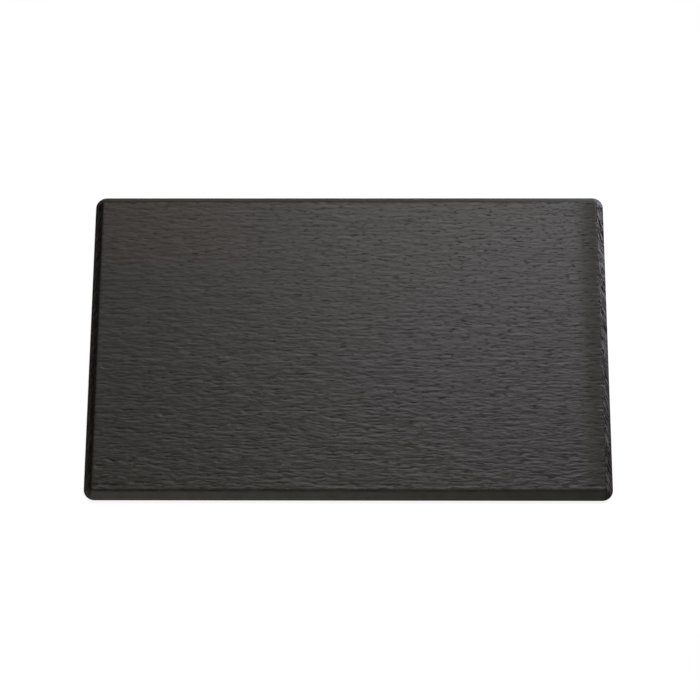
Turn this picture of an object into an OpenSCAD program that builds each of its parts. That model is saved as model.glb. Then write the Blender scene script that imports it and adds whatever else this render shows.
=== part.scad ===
// Melamine serving tray with a slate-look top: a moulded shell with a sloping edge and a
// hollow underside, standing on push-in rubber feet. Millimetres, Z up, table at Z = 0.

/* [Tray] */
// Length over the foot of the edge, along X
tray_length = 530; // [300:5:660]
// Width over the foot of the edge, along Y
tray_width = 325; // [180:5:420]
// Corner radius of the flat top face
face_corner_radius = 4; // [3:0.5:20]
// Thickness of the top wall
face_thickness = 4.5; // [3:0.25:6]

/* [Edge] */
// How far the sloping edge runs out from the top face
edge_run = 7.2; // [4:0.2:14]
// Height of the sloping edge
edge_drop = 9.6; // [8:0.2:16]
// Height of the upright land under the slope
edge_land = 1.6; // [1.2:0.2:3]
// Rounding where the top face turns over into the slope
shoulder_radius = 1.8; // [1:0.2:4]
// Rounding where the slope turns down into the land
knuckle_radius = 1.5; // [0.5:0.25:2.5]
// Rounding of the rim's outer lower edge
rim_radius = 0.6; // [0.2:0.1:0.9]

/* [Hollow underside] */
// Wall of the skirt behind the edge, measured level
skirt_thickness = 4; // [3:0.25:6]
// Corner radius of the hollow at its ceiling
hollow_corner_radius = 5; // [4:0.5:20]
// Fillet between the ceiling and the skirt
hollow_fillet = 3; // [1:0.25:4]
// Chamfer round the mouth of the hollow
mouth_chamfer = 0.6; // [0.2:0.1:1]

/* [Foot bosses] */
// From the tray's outer edge to a foot's axis
foot_inset = 40; // [25:1:80]
// Diameter of a boss
boss_diameter = 22; // [18:0.5:30]
// Fillet between a boss and the ceiling
boss_fillet = 2; // [0.5:0.25:3]
// Rounding of the boss's lower edge
boss_edge_radius = 0.8; // [0.2:0.1:1.5]
// Depth of the round seat that a foot's head sits in
seat_depth = 1.5; // [0.5:0.25:2.5]
// Free depth of the socket above a foot's stem
socket_spare = 0.5; // [0.2:0.1:1]

/* [Feet] */
// Diameter of a foot's head
foot_diameter = 14; // [10:0.5:16]
// How far a foot stands below the rim
foot_stand = 1.5; // [1:0.25:3]
// Rounding of the head's lower edge
foot_edge_radius = 0.8; // [0.2:0.1:1]
// Diameter of the stem
stem_diameter = 6; // [4:0.5:8]
// Length of the stem above the head
stem_length = 4; // [2:0.5:5]
// Lead-in rounding at the top of the stem
stem_lead = 1; // [0.3:0.1:1.5]
// Radial gap between a stem and its socket, filled with adhesive
glue_gap = 0.05; // [0.02:0.01:0.2]
// Radial gap between a head and its seat
seat_gap = 0.25; // [0.1:0.05:0.5]

/* [Hidden] */
$fn = 96;
// Overlap of cutting bodies past the faces they cut, and of bosses into the wall
overcut = 1;

// Levels above the table
rim_z = foot_stand;
land_z = rim_z + edge_land;
top_z = land_z + edge_drop;
ceiling_z = top_z - face_thickness;
seat_z = rim_z + seat_depth;
stem_top_z = seat_z + stem_length;
socket_top_z = stem_top_z + socket_spare;

// The edge and the hollow, each as a reach outwards from the centres of its corner turns
slope = edge_run / edge_drop;
edge_reach = face_corner_radius + edge_run;
hollow_run = (ceiling_z - land_z) * slope;
hollow_reach = hollow_corner_radius + hollow_run;
hollow_length = tray_length - 2 * skirt_thickness;
hollow_width = tray_width - 2 * skirt_thickness;

// Foot axes, named as seen from the front of the tray
foot_x = tray_length / 2 - foot_inset;
foot_y = tray_width / 2 - foot_inset;
foot_names = ["front_left_foot", "front_right_foot", "rear_left_foot", "rear_right_foot"];
foot_places = [[-foot_x, -foot_y], [foot_x, -foot_y], [-foot_x, foot_y], [foot_x, foot_y]];
foot_ids = [0 : len(foot_names) - 1];

// Outlines with rounded corners

function unit(v) = v / norm(v);
function flat(corner) = [corner.x, corner.y];
function step(list, i, by) = list[(i + by + len(list)) % len(list)];
function corner_angle(a, b) = acos(unit(a) * unit(b));

// One corner [x, y, radius] as [tangent in, tangent out, arc centre, radius, outward, convex]
function corner_arc(corners, i) =
    let (
        here = flat(corners[i]),
        back = unit(flat(step(corners, i, -1)) - here),
        on = unit(flat(step(corners, i, 1)) - here),
        half = corner_angle(back, on) / 2,
        radius = corners[i].z,
        run = radius / tan(half),
        inward = unit(back + on),
        convex = cross(back, on) < 0
    )
    [here + back * run, here + on * run, here + inward * radius / sin(half), radius, -inward, convex];

// The sliver between a corner's arc and the chord under it
module arc_cap(arc) {
    lift = arc[4] * arc[3];
    intersection() {
        translate(arc[2]) circle(arc[3]);
        polygon([arc[0], arc[1], arc[1] + lift, arc[0] + lift]);
    }
}

// A polygon, listed anticlockwise as [x, y, radius], with true arcs at its corners
module rounded_outline(corners) {
    arcs = [for (i = [0 : len(corners) - 1]) corner_arc(corners, i)];
    difference() {
        union() {
            polygon([for (arc = arcs) each arc[3] > 0 ? [arc[0], arc[1]] : [arc[0]]]);
            for (arc = arcs)
                if (arc[3] > 0 && arc[5]) arc_cap(arc);
        }
        for (arc = arcs)
            if (arc[3] > 0 && !arc[5]) arc_cap(arc);
    }
}

// A slab whose edge is the child outline, carried along four sides and round four corners.
// The outline starts at the centre line of the corner turns and reaches out from there.
module swept_slab(length, width, reach, low, high) {
    core_x = length - 2 * reach;
    core_y = width - 2 * reach;
    translate([-core_x / 2, -core_y / 2, low]) cube([core_x, core_y, high - low]);
    for (turn = [0 : 3]) {
        sideways = turn % 2 == 1;
        ahead = (sideways ? core_y : core_x) / 2;
        along = sideways ? core_x : core_y;
        rotate(90 * turn) {
            translate([ahead, 0, 0])
                rotate([90, 0, 0]) linear_extrude(along, center = true) children();
            translate([ahead, along / 2, 0]) rotate_extrude(angle = 90) children();
        }
    }
}

module at_feet() {
    for (place = foot_places) translate(place) children();
}

// Tray body: one compression moulding

// The sloping edge, from the rim up over the land, the slope and the shoulder
module edge_outline() {
    rounded_outline([
        [0, rim_z, 0],
        [edge_reach, rim_z, rim_radius],
        [edge_reach, land_z, knuckle_radius],
        [edge_reach - edge_run, top_z, shoulder_radius],
        [0, top_z, 0]
    ]);
}

// The hollow's side: a chamfered mouth, a short upright and a slope that follows the edge
module hollow_outline() {
    mouth = hollow_reach + mouth_chamfer;
    rounded_outline([
        [0, rim_z - overcut, 0],
        [mouth, rim_z - overcut, 0],
        [mouth, rim_z, 0],
        [hollow_reach, rim_z + mouth_chamfer, 0],
        [hollow_reach, land_z, knuckle_radius],
        [hollow_reach - hollow_run, ceiling_z, hollow_fillet],
        [0, ceiling_z, 0]
    ]);
}

// A round boss that carries a foot, flush with the rim and filleted into the ceiling
module foot_boss() {
    boss_radius = boss_diameter / 2;
    flange = boss_radius + 2 * boss_fillet;
    rotate_extrude()
        rounded_outline([
            [0, rim_z, 0],
            [boss_radius, rim_z, boss_edge_radius],
            [boss_radius, ceiling_z, boss_fillet],
            [flange, ceiling_z, 0],
            [flange, ceiling_z + overcut, 0],
            [0, ceiling_z + overcut, 0]
        ]);
}

// The round seat for a foot's head, with the blind socket for its stem
module foot_socket() {
    translate([0, 0, rim_z - overcut])
        cylinder(h = seat_depth + overcut, d = foot_diameter + 2 * seat_gap);
    translate([0, 0, rim_z])
        cylinder(h = socket_top_z - rim_z, d = stem_diameter + 2 * glue_gap);
}

module tray_body() {
    color("#2e2e2e")
        difference() {
            union() {
                difference() {
                    swept_slab(tray_length, tray_width, edge_reach, rim_z, top_z) edge_outline();
                    swept_slab(hollow_length, hollow_width, hollow_reach, rim_z - overcut, ceiling_z)
                        hollow_outline();
                }
                at_feet() foot_boss();
            }
            at_feet() foot_socket();
        }
}

// Foot: a soft rubber button whose stem is pressed into its socket

module foot() {
    head_radius = foot_diameter / 2;
    stem_radius = stem_diameter / 2;
    color("#161616")
        rotate_extrude()
            rounded_outline([
                [0, 0, 0],
                [head_radius, 0, foot_edge_radius],
                [head_radius, seat_z, 0],
                [stem_radius, seat_z, 0],
                [stem_radius, stem_top_z, stem_lead],
                [0, stem_top_z, 0]
            ]);
}

tray_body();
for (i = foot_ids)
    translate(foot_places[i]) foot();
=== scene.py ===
import math

import bmesh
import bpy
from mathutils import Matrix, Vector


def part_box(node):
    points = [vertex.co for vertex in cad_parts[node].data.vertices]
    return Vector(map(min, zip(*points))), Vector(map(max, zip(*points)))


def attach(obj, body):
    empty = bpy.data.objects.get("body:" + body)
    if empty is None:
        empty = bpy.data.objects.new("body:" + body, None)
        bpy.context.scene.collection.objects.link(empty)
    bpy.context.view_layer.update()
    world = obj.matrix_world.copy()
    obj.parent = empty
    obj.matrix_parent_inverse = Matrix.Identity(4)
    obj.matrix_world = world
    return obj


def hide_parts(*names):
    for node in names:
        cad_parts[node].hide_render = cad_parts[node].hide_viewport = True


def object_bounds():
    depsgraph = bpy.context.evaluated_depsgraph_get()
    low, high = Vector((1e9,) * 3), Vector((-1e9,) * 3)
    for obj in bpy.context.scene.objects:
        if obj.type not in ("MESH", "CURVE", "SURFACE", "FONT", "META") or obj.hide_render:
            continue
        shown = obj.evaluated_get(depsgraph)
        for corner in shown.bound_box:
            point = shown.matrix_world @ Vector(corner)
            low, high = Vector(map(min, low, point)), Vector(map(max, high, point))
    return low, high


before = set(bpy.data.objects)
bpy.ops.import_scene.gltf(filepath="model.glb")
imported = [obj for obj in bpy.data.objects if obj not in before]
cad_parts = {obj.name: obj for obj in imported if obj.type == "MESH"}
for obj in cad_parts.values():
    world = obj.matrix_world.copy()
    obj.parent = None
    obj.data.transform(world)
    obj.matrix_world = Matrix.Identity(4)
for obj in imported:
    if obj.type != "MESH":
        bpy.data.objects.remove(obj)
cad_low, cad_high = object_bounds()

# Tray body: one compression moulding in black melamine. Its face carries a pressed slate relief, its
# edge slopes out to the table like split stone, and its underside is hollow with bosses for the feet.
MM = 0.001
touching = 0.01 * MM
tray_low, tray_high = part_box("tray_body")
tray_length, tray_width, tray_height = tray_high - tray_low
rim_level = tray_low.z
face_level = tray_high.z


def select_where(piece, kind, test):
    """Selects the faces or the edges of a piece that pass a test, and nothing else."""
    bpy.ops.mesh.select_mode(type=kind)
    bpy.ops.mesh.select_all(action="DESELECT")
    shape = bmesh.from_edit_mesh(piece.data)
    for part in shape.faces if kind == "FACE" else shape.edges:
        part.select_set(test(part))
    bmesh.update_edit_mesh(piece.data)


def lies_at(level):
    """A test for faces and edges that lie wholly at one level."""
    return lambda part: all(abs(corner.co.z - level) < touching for corner in part.verts)


def arc_points(centre_in, centre_up, radius, start, end, steps):
    """Points (inwards, upwards) of an arc, whose angle is 0 where it faces straight out."""
    angles = [start + (end - start) * i / steps for i in range(steps + 1)]
    return [(centre_in - radius * math.cos(a), centre_up + radius * math.sin(a)) for a in angles]


def step_in(section, direction):
    """Insets the selected face along a section, with direction 1 out of the body and -1 into it."""
    for (in_before, up_before), (in_now, up_now) in zip(section, section[1:]):
        bpy.ops.mesh.inset(thickness=in_now - in_before, depth=direction * (up_now - up_before))


# A slab of the whole height, with its corners and its lower edge rounded
corner_radius = 11.2 * MM
corner_steps = 12
rim_radius = 0.6 * MM
rim_steps = 2
bpy.ops.object.select_all(action="DESELECT")
bpy.ops.mesh.primitive_cube_add(size=1)
tray = bpy.context.object
tray.name = "slate_tray"
bpy.ops.object.mode_set(mode="EDIT")
bpy.ops.transform.resize(value=(tray_length, tray_width, tray_height))
bpy.ops.transform.translate(value=(0, 0, rim_level + tray_height / 2))
select_where(tray, "EDGE", lambda e: abs(e.verts[0].co.z - e.verts[1].co.z) > tray_height / 2)
bpy.ops.mesh.bevel(offset=corner_radius, segments=corner_steps, affect="EDGES")
select_where(tray, "EDGE", lies_at(rim_level))
bpy.ops.mesh.bevel(offset=rim_radius, segments=rim_steps, affect="EDGES")

# The hollow underside: from the rim up a chamfer, an upright, a slope and a fillet to the ceiling
edge_run = 7.2 * MM
edge_drop = 9.6 * MM
slope_angle = math.atan2(edge_run, edge_drop)
wall_lean = math.pi / 2 - slope_angle
mouth_in = 2.8 * MM
mouth_chamfer = 0.6 * MM
upright_top = 1.6 * MM
face_thickness = 4.5 * MM
hollow_fillet = 3 * MM
fillet_steps = 4
ceiling_level = face_level - face_thickness
hollow_depth = ceiling_level - rim_level
slope_in = mouth_in + mouth_chamfer
ceiling_in = slope_in + (hollow_depth - upright_top) * math.tan(slope_angle)
fillet_in = ceiling_in + hollow_fillet * math.tan(wall_lean / 2)
fillet_up = hollow_depth - hollow_fillet
hollow_mouth = [(0, 0), (mouth_in, 0), (slope_in, mouth_chamfer), (slope_in, upright_top)]
hollow_top = arc_points(fillet_in, fillet_up, hollow_fillet, slope_angle, math.pi / 2, fillet_steps)
select_where(tray, "FACE", lies_at(rim_level))
step_in(hollow_mouth + hollow_top, -1)
bpy.ops.object.mode_set(mode="OBJECT")

# Round bosses with stepped sockets for the feet, filleted into the ceiling
foot_nodes = [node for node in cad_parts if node.endswith("_foot")]
foot_places = [sum(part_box(node), Vector()) / 2 for node in foot_nodes]
round_sides = 48
boss_radius = 11 * MM
boss_edge_radius = 0.8 * MM
boss_edge_steps = 3
boss_fillet = 2 * MM
boss_bite = 1.5 * MM
flare_level = ceiling_level - boss_fillet
flare_steps = 4
seat_radius = 7.25 * MM
seat_level = 3 * MM
socket_radius = 3.05 * MM
socket_top = 7.5 * MM
overcut = 1 * MM


def start_round(name, radius, low, high):
    """Adds an upright cylinder on the middle axis between two levels, and opens it in edit mode."""
    bpy.ops.object.select_all(action="DESELECT")
    bpy.ops.mesh.primitive_cylinder_add(
        vertices=round_sides, radius=radius, depth=high - low, location=(0, 0, (low + high) / 2)
    )
    made = bpy.context.object
    made.name = name
    bpy.ops.object.transform_apply(location=True)
    bpy.ops.object.mode_set(mode="EDIT")
    return made


def raise_face(height, widen=1):
    """Extrudes the selected face upwards and scales it."""
    bpy.ops.mesh.extrude_region_move(TRANSFORM_OT_translate={"value": (0, 0, height)})
    bpy.ops.transform.resize(value=(widen, widen, 1))


def spread(places):
    """Copies the piece in edit mode from the middle axis to every place, in one mesh."""
    bpy.ops.mesh.select_all(action="SELECT")
    bpy.ops.transform.translate(value=(places[0].x, places[0].y, 0))
    for before, place in zip(places, places[1:]):
        bpy.ops.mesh.duplicate()
        bpy.ops.transform.translate(value=(place.x - before.x, place.y - before.y, 0))
    bpy.ops.object.mode_set(mode="OBJECT")


def combine(piece, tool, operation):
    """Joins a tool to a piece or cuts it out, and clears the tool away."""
    change = piece.modifiers.new("combine", "BOOLEAN")
    change.operation = operation
    change.object = tool
    change.solver = "EXACT"
    bpy.ops.object.select_all(action="DESELECT")
    bpy.context.view_layer.objects.active = piece
    piece.select_set(True)
    bpy.ops.object.modifier_apply(modifier=change.name)
    bpy.data.objects.remove(tool)


boss = start_round("boss", boss_radius, rim_level, flare_level)
select_where(boss, "EDGE", lies_at(rim_level))
bpy.ops.mesh.bevel(offset=boss_edge_radius, segments=boss_edge_steps, affect="EDGES")
select_where(boss, "FACE", lies_at(flare_level))
flare = arc_points(boss_radius + boss_fillet, 0, boss_fillet, 0, math.pi / 2, flare_steps)
for (radius_before, up_before), (radius_now, up_now) in zip(flare, flare[1:]):
    raise_face(up_now - up_before, radius_now / radius_before)
raise_face(boss_bite)
spread(foot_places)
combine(tray, boss, "UNION")

socket = start_round("socket", seat_radius, rim_level - overcut, seat_level)
select_where(socket, "FACE", lies_at(seat_level))
bpy.ops.mesh.inset(thickness=seat_radius - socket_radius)
raise_face(socket_top - seat_level)
spread(foot_places)
combine(tray, socket, "DIFFERENCE")

# The upright land: the slab's top comes down to it, and its sides are cut fine
land_height = 1.1 * MM
land_top = rim_level + land_height
on_land = lies_at(land_top)
# Each side is cut in two rounds, because one round makes 100 cuts at most
long_side_parts = (3, 67)
short_side_parts = (5, 64)


def runs_along(edge, axis):
    """Whether an edge runs straight along X (axis 0) or along Y (axis 1)."""
    return abs(edge.verts[0].co[1 - axis] - edge.verts[1].co[1 - axis]) < touching


bpy.ops.object.mode_set(mode="EDIT")
select_where(tray, "FACE", lies_at(face_level))
bpy.ops.transform.translate(value=(0, 0, land_top - face_level))
bpy.ops.mesh.delete(type="ONLY_FACE")
for axis, side_parts in enumerate((long_side_parts, short_side_parts)):
    for parts in side_parts:
        select_where(tray, "EDGE", lambda e: on_land(e) and runs_along(e, axis))
        bpy.ops.mesh.subdivide(number_cuts=parts - 1)
select_where(tray, "EDGE", on_land)
bpy.ops.mesh.edge_face_add()

# The sloping edge, stepped up and in from the land over the knuckle, the slope and the shoulder
knuckle_radius = 1.5 * MM
knuckle_steps = 2
slope_rows = 13
shoulder_radius = 3.6 * MM
shoulder_steps = 4
shoulder_in = 9 * MM
shoulder_up = face_level - land_top - shoulder_radius
knuckle = arc_points(knuckle_radius, 0, knuckle_radius, 0, slope_angle, knuckle_steps)
shoulder = arc_points(shoulder_in, shoulder_up, shoulder_radius, slope_angle, math.pi / 2, shoulder_steps)
slope_foot = Vector(knuckle[-1])
slope_head = Vector(shoulder[0])
slope = [tuple(slope_foot.lerp(slope_head, i / slope_rows)) for i in range(1, slope_rows)]
select_where(tray, "FACE", on_land)
step_in(knuckle + slope + shoulder, 1)

# The flat face, filled with a fine grid
on_top = lies_at(face_level)


def runs_mostly_along_x(edge):
    """Whether an edge runs more along X than along Y."""
    run = edge.verts[1].co - edge.verts[0].co
    return abs(run.x) > abs(run.y)


bpy.ops.mesh.delete(type="ONLY_FACE")
select_where(tray, "EDGE", lambda e: on_top(e) and runs_mostly_along_x(e))
bpy.ops.mesh.fill_grid(use_interp_simple=True)
bpy.ops.mesh.select_all(action="SELECT")
bpy.ops.mesh.normals_make_consistent(inside=False)

# The face takes a satin finish, the two split ends a stranded one, and all the rest a dull one
nearly_level = 0.97
nearly_upright = 0.3
brow_turn = 0.05
dull_melamine = bpy.data.materials.new("dull_melamine")
satin_melamine = bpy.data.materials.new("satin_melamine")
split_melamine = bpy.data.materials.new("split_melamine")
finishes = (dull_melamine, satin_melamine, split_melamine)
for finish in finishes:
    tray.data.materials.append(finish)


def is_satin(face):
    """Whether a face is on the flat top, or on the brow of its back and right borders."""
    on_brow = face.normal.z > nearly_level and face.normal.x + face.normal.y > brow_turn
    return on_top(face) or on_brow


def is_split(face, side):
    """Whether a face is on the slope of the right end (side 1) or of the left end (side -1)."""
    on_slope = nearly_upright < face.normal.z < nearly_level
    return on_slope and side * face.normal.x > abs(face.normal.y)


def give_finish(finish):
    """Gives one of the tray's finishes to its selected faces."""
    tray.active_material_index = finishes.index(finish)
    bpy.ops.object.material_slot_assign()


select_where(tray, "FACE", is_satin)
give_finish(satin_melamine)
# The faces of the ends are cut in two along the slant of the splits
for side, diagonal in ((1, "FIXED"), (-1, "FIXED_ALTERNATE")):
    select_where(tray, "FACE", lambda f: is_split(f, side))
    give_finish(split_melamine)
    bpy.ops.mesh.quads_convert_to_tris(quad_method=diagonal)
bpy.ops.object.mode_set(mode="OBJECT")

# Nodes for the slate's patterns, which shape the relief and colour the finishes, in millimetres
noise_middle = 0.5


def put(tree, kind, inputs=None, **settings):
    """Adds a node with its settings, and links or sets its inputs by name or number."""
    made = tree.nodes.new(kind)
    for name, value in settings.items():
        setattr(made, name, value)
    for key, value in (inputs or {}).items():
        if isinstance(value, bpy.types.NodeSocket):
            tree.links.new(value, made.inputs[key])
        else:
            made.inputs[key].default_value = value
    return made


def calc(tree, operation, *values):
    """A sum, product or other calculation on numbers and sockets."""
    return put(tree, "ShaderNodeMath", dict(enumerate(values)), operation=operation).outputs[0]


def ramp(tree, value, over, gives=(0, 1)):
    """A smooth step over a range of values, from one number at its start to another at its end."""
    inputs = {"Value": value}
    inputs["From Min"], inputs["From Max"] = over
    inputs["To Min"], inputs["To Max"] = gives
    return put(tree, "ShaderNodeMapRange", inputs, interpolation_type="SMOOTHSTEP").outputs[0]


def in_mm(tree, spot):
    """The three coordinates of a spot, in millimetres."""
    enlarged = put(tree, "ShaderNodeVectorMath", {0: spot, "Scale": 1 / MM}, operation="SCALE")
    return put(tree, "ShaderNodeSeparateXYZ", {0: enlarged.outputs[0]}).outputs


def cloud(tree, along, across, size, layer, detail=1):
    """Soft noise from 0 to 1, with its size along and across. Each layer has a noise of its own."""
    along_size, across_size = size
    steps_along = calc(tree, "DIVIDE", along, along_size)
    steps_across = calc(tree, "DIVIDE", across, across_size)
    vector = put(tree, "ShaderNodeCombineXYZ", {0: steps_along, 1: steps_across, 2: layer}).outputs[0]
    return put(tree, "ShaderNodeTexNoise", {"Vector": vector, "Scale": 1, "Detail": detail}).outputs[0]


def wander(tree, along, across, size, layer, reach, detail=1):
    """Noise round 0, to carry a pattern off its straight course."""
    noise = cloud(tree, along, across, size, layer, detail)
    return calc(tree, "MULTIPLY", calc(tree, "SUBTRACT", noise, noise_middle), reach)


# The slate's own patterns: its course along the tray, its ripples and clefts, and the splits of its ends
cleft_size = (14, 2.2)
cleft_range = (0.62, 0.68)
short_ripple_share = 0.45
split_slant = 1.6


def slate_course(tree, x, y):
    """The place across the slate's grain, which bends gently along the tray."""
    wide_bend = wander(tree, x, y, size=(90, 50), layer=1, reach=4)
    close_bend = wander(tree, x, y, size=(14, 7), layer=2, reach=1)
    return calc(tree, "ADD", y, calc(tree, "ADD", wide_bend, close_bend))


def ripples(tree, x, course):
    """Short and long ripples that run along the tray, from 0 to 1."""
    short = cloud(tree, x, course, size=(7, 2.05), layer=3)
    long = cloud(tree, x, course, size=(21, 3.2), layer=4)
    long_part = calc(tree, "MULTIPLY", long, 1 - short_ripple_share)
    return calc(tree, "MULTIPLY_ADD", short, short_ripple_share, long_part)


def split_pattern(tree, y, drop):
    """Ragged splits that slant down the ends, from 0 to 1."""
    sway = wander(tree, y, drop, size=(9, 5), layer=12, reach=1.8)
    course = calc(tree, "ADD", calc(tree, "MULTIPLY_ADD", drop, split_slant, y), sway)
    return cloud(tree, course, drop, size=(1.2, 9), layer=6, detail=0)


def face_relief(tree, x, y):
    """Depth of the face's flat-topped ripples, clefts and broad hollows, deepest at the front left."""
    ripple_depth = 1.1
    ripple_top = 0.7
    ripple_lean = 1.5
    cleft_depth = 0.2
    broad_depth = 0.5
    course = slate_course(tree, x, y)
    lean = calc(tree, "SUBTRACT", ripples(tree, x, course), noise_middle)
    leaning = calc(tree, "ADD", course, calc(tree, "MULTIPLY", lean, ripple_lean))
    below_top = calc(tree, "SUBTRACT", ripple_top, ripples(tree, x, leaning))
    depth = calc(tree, "MULTIPLY", calc(tree, "MAXIMUM", below_top, 0), ripple_depth)
    cleft = ramp(tree, cloud(tree, x, leaning, cleft_size, layer=5), over=cleft_range)
    depth = calc(tree, "ADD", depth, calc(tree, "MULTIPLY", cleft, cleft_depth))
    broad = cloud(tree, x, course, size=(45, 16), layer=15)
    depth = calc(tree, "MULTIPLY_ADD", broad, broad_depth, depth)
    lip_line = calc(tree, "ADD", y, wander(tree, x, 0, size=(12, 1), layer=11, reach=4))
    front_lip = ramp(tree, lip_line, over=(-153, -149), gives=(0.75, 1))
    to_front = ramp(tree, y, over=(120, -200), gives=(0.68, 1.95))
    to_left = ramp(tree, x, over=(200, -260), gives=(0.9, 1.45))
    depth = calc(tree, "MULTIPLY", depth, front_lip)
    return calc(tree, "MULTIPLY", depth, calc(tree, "MULTIPLY", to_front, to_left))


def end_relief(tree, y, drop):
    """Depth of the splits on an end, and of the shallow scoop down its slope."""
    split_depth = 2.2
    split_start = 0.36
    scoop_depth = 0.8
    half_way_product = 0.5 * 0.5
    past_start = calc(tree, "SUBTRACT", split_pattern(tree, y, drop), split_start)
    down = calc(tree, "MINIMUM", calc(tree, "DIVIDE", drop, edge_drop / MM), 1)
    scoop = calc(tree, "MULTIPLY", down, calc(tree, "SUBTRACT", 1, down))
    scoop = calc(tree, "MULTIPLY", scoop, scoop_depth / half_way_product)
    return calc(tree, "MULTIPLY_ADD", calc(tree, "MAXIMUM", past_start, 0), split_depth, scoop)


def side_relief(tree, x, drop):
    """Depth of the slow swells along the front and the back, which are nearly smooth."""
    swell_depth = 0.18
    swells = cloud(tree, x, drop, size=(14, 6), layer=7, detail=1.5)
    return calc(tree, "MULTIPLY", swells, swell_depth)


def shoulder_chips(tree, x, y, drop):
    """Depth of the chips along the shoulder, a little deeper at the left end."""
    chip_depth = 0.7
    chip_noise = cloud(tree, x, y, size=(6, 6), layer=10, detail=2)
    chips = ramp(tree, chip_noise, over=(0.4, 0.62), gives=(0, chip_depth))
    near_top = ramp(tree, drop, over=(3, 0.4))
    to_left_end = ramp(tree, x, over=(-240, -256), gives=(1, 1.1))
    return calc(tree, "MULTIPLY", calc(tree, "MULTIPLY", chips, near_top), to_left_end)


def end_brow(tree, facing_x, facing_z):
    """Height of the low brow where the face turns over into an end."""
    brow_height = 0.25
    turned_up = ramp(tree, facing_z, over=(0.62, 0.88))
    turned_over = ramp(tree, facing_z, over=(0.995, 0.9))
    to_end = ramp(tree, calc(tree, "ABSOLUTE", facing_x), over=(0.05, 0.2), gives=(0, brow_height))
    return calc(tree, "MULTIPLY", calc(tree, "MULTIPLY", turned_up, turned_over), to_end)


# The relief is pressed into the body, and each spot keeps a record of its place before the pressing
smooth_angle = math.radians(35)
flat_spot = "flat_spot"
relief = bpy.data.node_groups.new("slate_relief", "GeometryNodeTree")
relief.interface.new_socket("Geometry", in_out="INPUT", socket_type="NodeSocketGeometry")
relief.interface.new_socket("Geometry", in_out="OUTPUT", socket_type="NodeSocketGeometry")
moulding = put(relief, "NodeGroupInput").outputs[0]
place_before = put(relief, "GeometryNodeInputPosition").outputs[0]
facing = put(relief, "GeometryNodeInputNormal").outputs[0]
body_x, body_y, body_z = in_mm(relief, place_before)
body_drop = calc(relief, "SUBTRACT", face_level / MM, body_z)
facing_x, facing_y, facing_z = put(relief, "ShaderNodeSeparateXYZ", {0: facing}).outputs
on_upper_side = ramp(relief, facing_z, over=(0.1, 0.4))
on_face = ramp(relief, facing_z, over=(0.75, 0.97))
on_shoulder = calc(relief, "MULTIPLY", on_upper_side, calc(relief, "SUBTRACT", 1, on_face))


def on_slopes(facing_part):
    """Where the body slopes to the two ends, or to the front and the back, from 0 to 1."""
    turned = ramp(relief, calc(relief, "ABSOLUTE", facing_part), over=(0.35, 0.65))
    return calc(relief, "MULTIPLY", on_upper_side, turned)


chips = shoulder_chips(relief, body_x, body_y, body_drop)
end_depth = end_relief(relief, body_y, body_drop)
side_depth = side_relief(relief, body_x, body_drop)
depth = calc(relief, "MULTIPLY", face_relief(relief, body_x, body_y), on_face)
depth = calc(relief, "MULTIPLY_ADD", chips, on_shoulder, depth)
depth = calc(relief, "MULTIPLY_ADD", end_depth, on_slopes(facing_x), depth)
depth = calc(relief, "MULTIPLY_ADD", side_depth, on_slopes(facing_y), depth)
depth = calc(relief, "SUBTRACT", depth, end_brow(relief, facing_x, facing_z))
push = {0: facing, "Scale": calc(relief, "MULTIPLY", depth, -MM)}
inwards = put(relief, "ShaderNodeVectorMath", push, operation="SCALE").outputs[0]
mark = {"Geometry": moulding, "Name": flat_spot, "Value": place_before}
marked = put(relief, "GeometryNodeStoreNamedAttribute", mark, data_type="FLOAT_VECTOR", domain="POINT")
pressed = put(relief, "GeometryNodeSetPosition", {"Geometry": marked.outputs[0], "Offset": inwards})
put(relief, "NodeGroupOutput", {0: pressed.outputs[0]})
pressing = tray.modifiers.new("slate_relief", "NODES")
pressing.node_group = relief
bpy.ops.object.modifier_apply(modifier=pressing.name)
bpy.ops.object.shade_smooth_by_angle(angle=smooth_angle)

# Satin melamine on the face: near black, with painted casts of tinted light, a fine grain and rougher
# borders


def cleared_nodes(owner):
    """The node tree of a material or a world, emptied."""
    owner.use_nodes = True
    owner.node_tree.nodes.clear()
    return owner.node_tree


def mixed(tree, share, first, second):
    """A colour between two others, by the share of the second."""
    inputs = {0: share, "A": first, "B": second}
    return put(tree, "ShaderNodeMix", inputs, data_type="RGBA").outputs["Result"]


def finish_surface(tree, tone, roughness, specular, height):
    """Ends a finish with its shader, which takes its bumps from a height in millimetres."""
    bump = put(tree, "ShaderNodeBump", {"Height": height, "Strength": 1, "Distance": MM})
    look = {
        "Base Color": tone,
        "Roughness": roughness,
        "Specular IOR Level": specular,
        "Normal": bump.outputs[0],
    }
    surface = put(tree, "ShaderNodeBsdfPrincipled", look)
    put(tree, "ShaderNodeOutputMaterial", {"Surface": surface.outputs[0]})


def satin_tone_with_painted_casts(tree, x, y):
    """An olive black with painted casts of tinted light: a cool mauve cast in a wedge from the right, and
    a warm brown cast at the back left.
    """
    olive_black = (0.0169, 0.0166, 0.0121, 1)
    painted_cool_cast = (0.0183, 0.0166, 0.0173, 1)
    painted_warm_cast = (0.0217, 0.0164, 0.0124, 1)
    wedge_axis = -25
    wedge_slant = 1.3
    # The mauve wedge and the brown back left are painted colour casts of the light, not the melamine's
    # own colour
    drifting = calc(tree, "ADD", x, wander(tree, x, y, size=(50, 25), layer=7, reach=240, detail=4))
    off_axis = calc(tree, "ABSOLUTE", calc(tree, "SUBTRACT", y, wedge_axis))
    wedge = calc(tree, "MULTIPLY_ADD", off_axis, -wedge_slant, drifting)
    short_of_end = ramp(tree, x, over=(215, 245), gives=(1, 0.3))
    cool_cast_share = calc(tree, "MULTIPLY", ramp(tree, wedge, over=(-135, 105)), short_of_end)
    to_left = ramp(tree, drifting, over=(-40, -160))
    warm_cast_share = calc(tree, "MULTIPLY", to_left, ramp(tree, y, over=(55, 115)))
    return mixed(tree, warm_cast_share, mixed(tree, cool_cast_share, olive_black, painted_cool_cast), painted_warm_cast)


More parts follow.
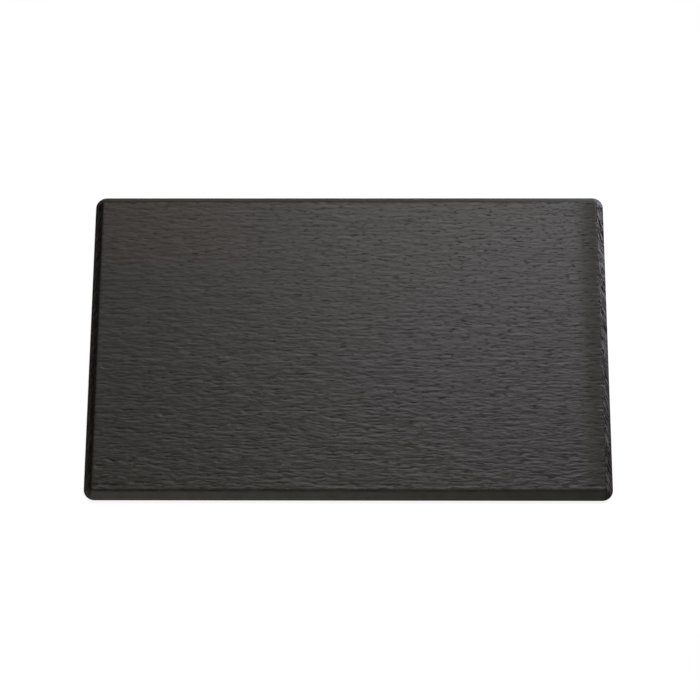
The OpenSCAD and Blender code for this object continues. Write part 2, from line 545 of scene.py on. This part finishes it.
def satin_roughness(tree, x, y, grain, cleft):
    """Satin that goes dull at the borders, towards the right end, in the grain and in the clefts."""
    face_end = (tray_length / 2 - shoulder_in) / MM
    face_side = (tray_width / 2 - shoulder_in) / MM
    back_margin = 1
    dull_strip = 26
    cleft_roughness = 0.3
    left_gap = calc(tree, "ADD", x, face_end)
    front_gap = calc(tree, "ADD", y, face_side)
    back_gap = calc(tree, "SUBTRACT", face_side + back_margin, y)
    gap = calc(tree, "MINIMUM", calc(tree, "MINIMUM", left_gap, front_gap), back_gap)
    gap = calc(tree, "ADD", gap, wander(tree, x, y, size=(8, 8), layer=13, reach=3))
    at_border = ramp(tree, gap, over=(0.2, 1.8), gives=(0.3, 0))
    at_right_end = ramp(tree, x, over=(face_end - dull_strip, face_end), gives=(0.55, 0.72))
    in_grain = ramp(tree, grain, over=(0.45, 0.25), gives=(0, 0.25))
    roughness = calc(tree, "ADD", calc(tree, "ADD", at_border, at_right_end), in_grain)
    return calc(tree, "MULTIPLY_ADD", cleft, cleft_roughness, roughness)


def make_satin(material):
    """The face's finish, with a grain and clefts too fine for the relief."""
    grain_size = (6, 1.95)
    grain_layer = 8
    grain_lean = -1
    cleft_depth = 0.08
    tree = cleared_nodes(material)
    x, y, _ = in_mm(tree, put(tree, "ShaderNodeTexCoord").outputs["Object"])
    course = slate_course(tree, x, y)
    lean = calc(tree, "SUBTRACT", cloud(tree, x, course, grain_size, grain_layer), noise_middle)
    leaning = calc(tree, "MULTIPLY_ADD", lean, grain_lean, course)
    grain = cloud(tree, x, leaning, grain_size, grain_layer)
    fewer_at_back = ramp(tree, y, over=(150, -160), gives=(0.035, -0.025))
    cleft_noise = calc(tree, "SUBTRACT", cloud(tree, x, leaning, cleft_size, layer=18), fewer_at_back)
    cleft = ramp(tree, cleft_noise, over=cleft_range)
    grain_depth = ramp(tree, y, over=(120, -200), gives=(0.17, 0.48))
    to_left = ramp(tree, x, over=(100, -260), gives=(1, 1.15))
    grain_height = calc(tree, "MULTIPLY", grain, calc(tree, "MULTIPLY", grain_depth, to_left))
    height = calc(tree, "SUBTRACT", grain_height, calc(tree, "MULTIPLY", cleft, cleft_depth))
    roughness = satin_roughness(tree, x, y, grain, cleft)
    finish_surface(tree, satin_tone_with_painted_casts(tree, x, y), roughness, specular=0.33, height=height)


make_satin(satin_melamine)

# Dull melamine on the edge and the underside, and split melamine with slanting strands on the ends


def skin_grain(tree, x, y, z):
    """Height of the moulded skin's fine grain."""
    grain_depth = 0.04
    return calc(tree, "MULTIPLY", cloud(tree, x, y, size=(0.8, 0.8), layer=z, detail=2), grain_depth)


def place_on_flat(tree):
    """The place that a spot had before the relief was pressed in."""
    return in_mm(tree, put(tree, "ShaderNodeAttribute", attribute_name=flat_spot).outputs["Vector"])


def make_dull(material):
    """A dull, faintly mottled skin."""
    light_black = (0.0158, 0.0148, 0.0129, 1)
    dark_black = (0.0135, 0.0124, 0.0105, 1)
    tree = cleared_nodes(material)
    x, y, z = place_on_flat(tree)
    mottle = ramp(tree, cloud(tree, x, y, size=(9, 9), layer=9, detail=3), over=(0.3, 0.7))
    tone = mixed(tree, mottle, light_black, dark_black)
    finish_surface(tree, tone, roughness=0.8, specular=0.04, height=skin_grain(tree, x, y, z))


def make_split(material):
    """A skin with strands that slant down, with painted shade in the deep splits and a painted shadow
    under the left brow.
    """
    strand_grey = (0.0325, 0.0283, 0.0246, 1)
    painted_split_shade_black = (0.0138, 0.0120, 0.0104, 1)
    painted_shadow_black = (0.002, 0.002, 0.002, 1)
    painted_shadow_share = 0.78
    strand_depth = 0.4
    tree = cleared_nodes(material)
    x, y, z = place_on_flat(tree)
    splits = split_pattern(tree, y, calc(tree, "SUBTRACT", face_level / MM, z))
    # The deep splits are painted darker than the raised strands: painted shade in the splits
    strands_and_painted_shade = mixed(tree, ramp(tree, splits, over=(0.41, 0.56)), strand_grey, painted_split_shade_black)
    # The upper half of the left end's slope is painted near black: a painted shadow under the brow
    painted_shadow_on_left = ramp(tree, x, over=(1, -1), gives=(0, painted_shadow_share))
    painted_shadow_under_brow = calc(tree, "MULTIPLY", ramp(tree, z, over=(6, 9)), painted_shadow_on_left)
    tone = mixed(tree, painted_shadow_under_brow, strands_and_painted_shade, painted_shadow_black)
    strand_course = calc(tree, "MULTIPLY_ADD", z, -split_slant, y)
    strands = cloud(tree, strand_course, z, size=(1.4, 6), layer=19)
    height = calc(tree, "MULTIPLY_ADD", strands, strand_depth, skin_grain(tree, x, y, z))
    finish_surface(tree, tone, roughness=0.5, specular=0.02, height=height)


make_dull(dull_melamine)
make_split(split_melamine)
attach(tray, "root")
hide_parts("tray_body")

# Feet: four soft rubber buttons with a ringed tread, each moulded in one with its stem. The stem is
# pressed into its socket with adhesive, and the head sits in the boss and stands below the rim.
table_level = cad_low.z
foot_radius = 7 * MM
foot_edge_radius = 0.8 * MM
foot_edge_steps = 4
stem_radius = 3 * MM
stem_top = 7 * MM
stem_lead = 1 * MM
stem_lead_steps = 3
tread_rings = 2
tread_land = 1.2 * MM
groove_wall = 0.2 * MM
groove_floor = 0.6 * MM
groove_depth = 0.5 * MM
foot = start_round("rubber_foot", foot_radius, table_level, seat_level)
select_where(foot, "EDGE", lies_at(table_level))
bpy.ops.mesh.bevel(offset=foot_edge_radius, segments=foot_edge_steps, affect="EDGES")
select_where(foot, "FACE", lies_at(table_level))
for ring in range(tread_rings):
    bpy.ops.mesh.inset(thickness=tread_land)
    bpy.ops.mesh.inset(thickness=groove_wall, depth=-groove_depth)
    bpy.ops.mesh.inset(thickness=groove_floor)
    bpy.ops.mesh.inset(thickness=groove_wall, depth=groove_depth)
select_where(foot, "FACE", lies_at(seat_level))
bpy.ops.mesh.inset(thickness=foot_radius - stem_radius)
raise_face(stem_top - seat_level)
select_where(foot, "EDGE", lies_at(stem_top))
bpy.ops.mesh.bevel(offset=stem_lead, segments=stem_lead_steps, affect="EDGES")
bpy.ops.object.mode_set(mode="OBJECT")
bpy.ops.object.shade_smooth_by_angle(angle=smooth_angle)


def make_rubber(material):
    """Matte black rubber with a fine moulded grain and a little dust."""
    clean_black = (0.011, 0.011, 0.011, 1)
    dusty_black = (0.024, 0.023, 0.022, 1)
    grain_depth = 0.03
    tree = cleared_nodes(material)
    x, y, z = in_mm(tree, put(tree, "ShaderNodeTexCoord").outputs["Object"])
    dust = cloud(tree, x, y, size=(2, 2), layer=14, detail=4)
    tone = mixed(tree, ramp(tree, dust, over=(0.45, 0.75)), clean_black, dusty_black)
    roughness = ramp(tree, dust, over=(0.3, 0.7), gives=(0.65, 0.85))
    grain = cloud(tree, x, y, size=(0.25, 0.25), layer=z, detail=2)
    height = calc(tree, "MULTIPLY", grain, grain_depth)
    finish_surface(tree, tone, roughness, specular=0.35, height=height)


foot_rubber = bpy.data.materials.new("foot_rubber")
make_rubber(foot_rubber)
foot.data.materials.append(foot_rubber)

# The foot is copied to its four places, and each copy stands for its own node
for node, place in zip(foot_nodes, foot_places):
    bpy.ops.object.select_all(action="DESELECT")
    bpy.context.view_layer.objects.active = foot
    foot.select_set(True)
    bpy.ops.object.duplicate()
    pressed_in = bpy.context.object
    pressed_in.name = node.replace("foot", "rubber_foot")
    bpy.ops.object.mode_set(mode="EDIT")
    bpy.ops.mesh.select_all(action="SELECT")
    bpy.ops.transform.translate(value=(place.x, place.y, 0))
    bpy.ops.object.mode_set(mode="OBJECT")
    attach(pressed_in, "root")
    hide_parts(node)
bpy.data.objects.remove(foot)

# Floor: a plain sweep of white paper that the tray stands on. It looks white by itself, and only near
# the tray does it take up light as well, so that it keeps the tray's shadow and no other.
floor_size = 8
shadow_zone = (0.36, 0.55)
near_glow = 0.87
near_grey = 0.17
bpy.ops.object.select_all(action="DESELECT")
bpy.ops.mesh.primitive_plane_add(size=floor_size)
floor = bpy.context.object
floor.name = "floor"
floor_paper = bpy.data.materials.new("floor_paper")
paper = cleared_nodes(floor_paper)
ray = put(paper, "ShaderNodeLightPath").outputs
mirrored = calc(paper, "ADD", ray["Is Glossy Ray"], ray["Is Transmission Ray"])
seen = calc(paper, "ADD", ray["Is Camera Ray"], mirrored)
floor_spot = put(paper, "ShaderNodeTexCoord").outputs["Object"]
away = put(paper, "ShaderNodeVectorMath", {0: floor_spot}, operation="LENGTH").outputs["Value"]
glow = ramp(paper, away, over=shadow_zone, gives=(near_glow, 1))
white = put(paper, "ShaderNodeEmission", {"Strength": calc(paper, "MULTIPLY", seen, glow)})
taken_up = ramp(paper, away, over=shadow_zone, gives=(near_grey, 0))
grey = put(paper, "ShaderNodeBsdfDiffuse", {"Color": taken_up})
white_and_grey = put(paper, "ShaderNodeAddShader", {0: white.outputs[0], 1: grey.outputs[0]})
put(paper, "ShaderNodeOutputMaterial", {"Surface": white_and_grey.outputs[0]})
floor.data.materials.append(floor_paper)

# Studio light: five soft panels that the camera doesn't see. A large one high behind the tray gives
# the face its sheen, and low ones at the right, back, front and left light the slopes of the edge.
middle = (0, 0, 0)
right_back = (0.2, 0.15, 0)
right_end = (0.265, 0.065, 0)


def add_light(name, place, aim, size, power, colour, spread=180):
    """Adds a soft light panel that looks at a spot on the tray, with its spread in degrees."""
    bpy.ops.object.light_add(type="AREA", location=place)
    made = bpy.context.object
    made.name = name
    made.data.shape = "RECTANGLE"
    made.data.size, made.data.size_y = size
    made.data.energy = power
    made.data.color = colour
    made.data.spread = math.radians(spread)
    made.visible_camera = False
    made.rotation_euler = (Vector(place) - Vector(aim)).to_track_quat("Z", "Y").to_euler()


add_light(
    "sheen_light", place=(0.53, 1.76, 2.43), aim=right_back, size=(0.5, 0.5),
    power=10.35, colour=(0.98, 0.95, 0.975), spread=57.6,
)
add_light(
    "key_light", place=(0.85, 0.5, 0.006), aim=right_end, size=(0.25, 0.012),
    power=2.05, colour=(0.74, 0.79, 1.0), spread=40,
)
add_light(
    "back_card", place=(-0.02, 0.62, 0.03), aim=middle, size=(0.9, 0.04),
    power=4.3, colour=(1.0, 0.98, 0.97),
)
add_light(
    "front_fill", place=(-0.2, -0.9, 0.07), aim=middle, size=(0.3, 0.12),
    power=14, colour=(1.0, 1.0, 1.0),
)
add_light(
    "left_card", place=(-0.75, 0.0, 0.02), aim=middle, size=(0.3, 0.03),
    power=0.2, colour=(1.0, 0.95, 0.90),
)

# The room is white to the camera and nearly dark to the tray
room_light = 0.03
room_colour = (1, 1, 1, 1)
studio = bpy.data.worlds.new("studio")
bpy.context.scene.world = studio
room = cleared_nodes(studio)
room_seen = put(room, "ShaderNodeLightPath").outputs["Is Camera Ray"]
room_strength = ramp(room, room_seen, over=(0, 1), gives=(room_light, 1))
walls = put(room, "ShaderNodeBackground", {"Color": room_colour, "Strength": room_strength})
put(room, "ShaderNodeOutputWorld", {"Surface": walls.outputs[0]})

# Camera: a long lens a little over two metres off, looking steeply down on the tray from the front,
# as for a catalogue picture. The frame is square, 700 pixels a side.
camera_focus = Vector((1.43, -4.18, 2.0)) * MM
camera_distance = 2134.6 * MM
camera_elevation = math.radians(72.13)
camera_azimuth = math.radians(1.96)
camera_roll = math.radians(-1.83)
lens_length = 107.3
sensor_width = 36
farthest_view = 20
camera_back = Vector((
    math.sin(camera_azimuth) * math.cos(camera_elevation),
    -math.cos(camera_azimuth) * math.cos(camera_elevation),
    math.sin(camera_elevation),
))
level_right = Vector((math.cos(camera_azimuth), math.sin(camera_azimuth), 0))
level_up = camera_back.cross(level_right)
camera_right = level_right * math.cos(camera_roll) + level_up * math.sin(camera_roll)
camera_up = level_up * math.cos(camera_roll) - level_right * math.sin(camera_roll)
bpy.ops.object.camera_add()
camera = bpy.context.object
camera.data.lens = lens_length
camera.data.sensor_width = sensor_width
camera.data.clip_end = farthest_view
camera_turn = Matrix((camera_right, camera_up, camera_back)).transposed().to_4x4()
camera.matrix_world = Matrix.Translation(camera_focus + camera_back * camera_distance) @ camera_turn
bpy.context.scene.camera = camera
bpy.context.scene.view_settings.view_transform = "Standard"
